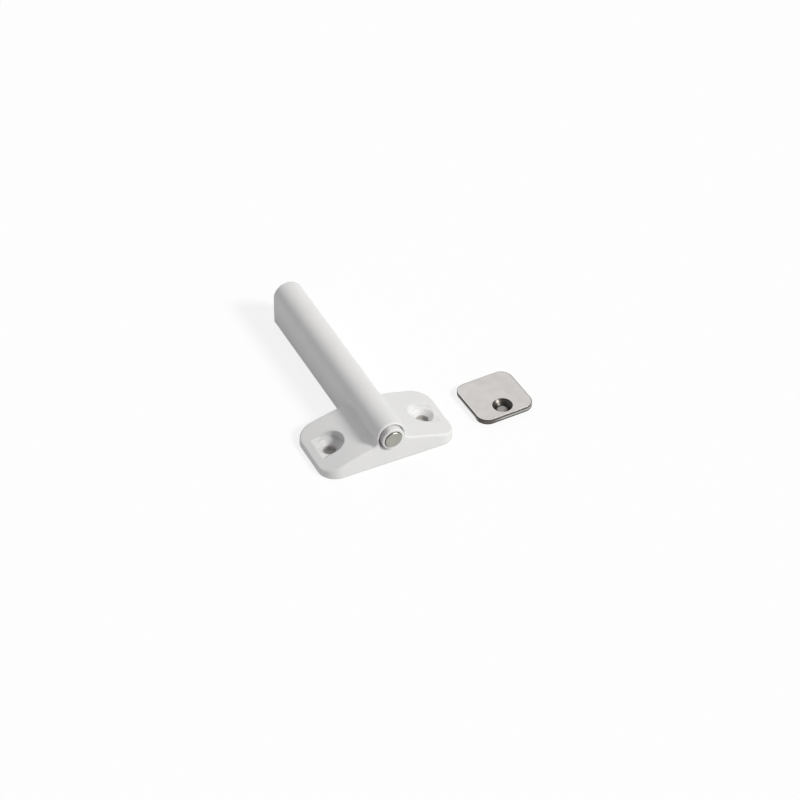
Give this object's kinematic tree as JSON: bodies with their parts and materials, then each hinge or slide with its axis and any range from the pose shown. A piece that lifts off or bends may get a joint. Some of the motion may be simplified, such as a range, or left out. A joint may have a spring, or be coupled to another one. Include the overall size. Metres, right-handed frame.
{
  "type": "magnetic push catch",
  "caption": "Push-to-open magnetic catch: slim arch-shaped barrel on a sloped screw flange, magnet-tipped plunger and a square countersunk strike plate.",
  "frame": {"origin": "midway between the two flange screws, on the mounting face", "axes": "+X across the flange towards the strike plate, +Y from the plunger's nose to the barrel's back end, +Z out of the mounting face"},
  "size_m": [0.0744, 0.0793, 0.0145],
  "materials": {
    "housing_plastic": "satin moulded white",
    "plunger_plastic": "satin moulded white",
    "magnet_plating": "nickel-plated, satin",
    "spring_steel": "drawn wire",
    "plate_steel": "satin-plated steel"
  },
  "bodies": {
    "catch": {"housing": "housing_plastic", "rear_plug": "housing_plastic", "spring": "spring_steel", "strike_plate": "plate_steel"},
    "plunger_unit": {"plunger": "plunger_plastic", "magnet": "magnet_plating"},
    "latch": {"latch_wire": "spring_steel"}
  },
  "joints": [
    {"name": "plunger_slide", "type": "slide", "parent": "catch", "child": "plunger_unit", "axis": [0, -1, 0], "range_m": [-0.0012, 0.038], "deforming": ["spring"]},
    {"name": "latch_swing", "type": "hinge", "parent": "catch", "child": "latch", "pos_m": [0, 0.0629, 0.01145], "axis": [0, 0, 1], "range_deg": [-1.5, 0.1]}
  ],
  "couplings": [
    {"joint": "latch_swing", "follows": "plunger_slide", "rad_per_m": -0.64639}
  ]
}
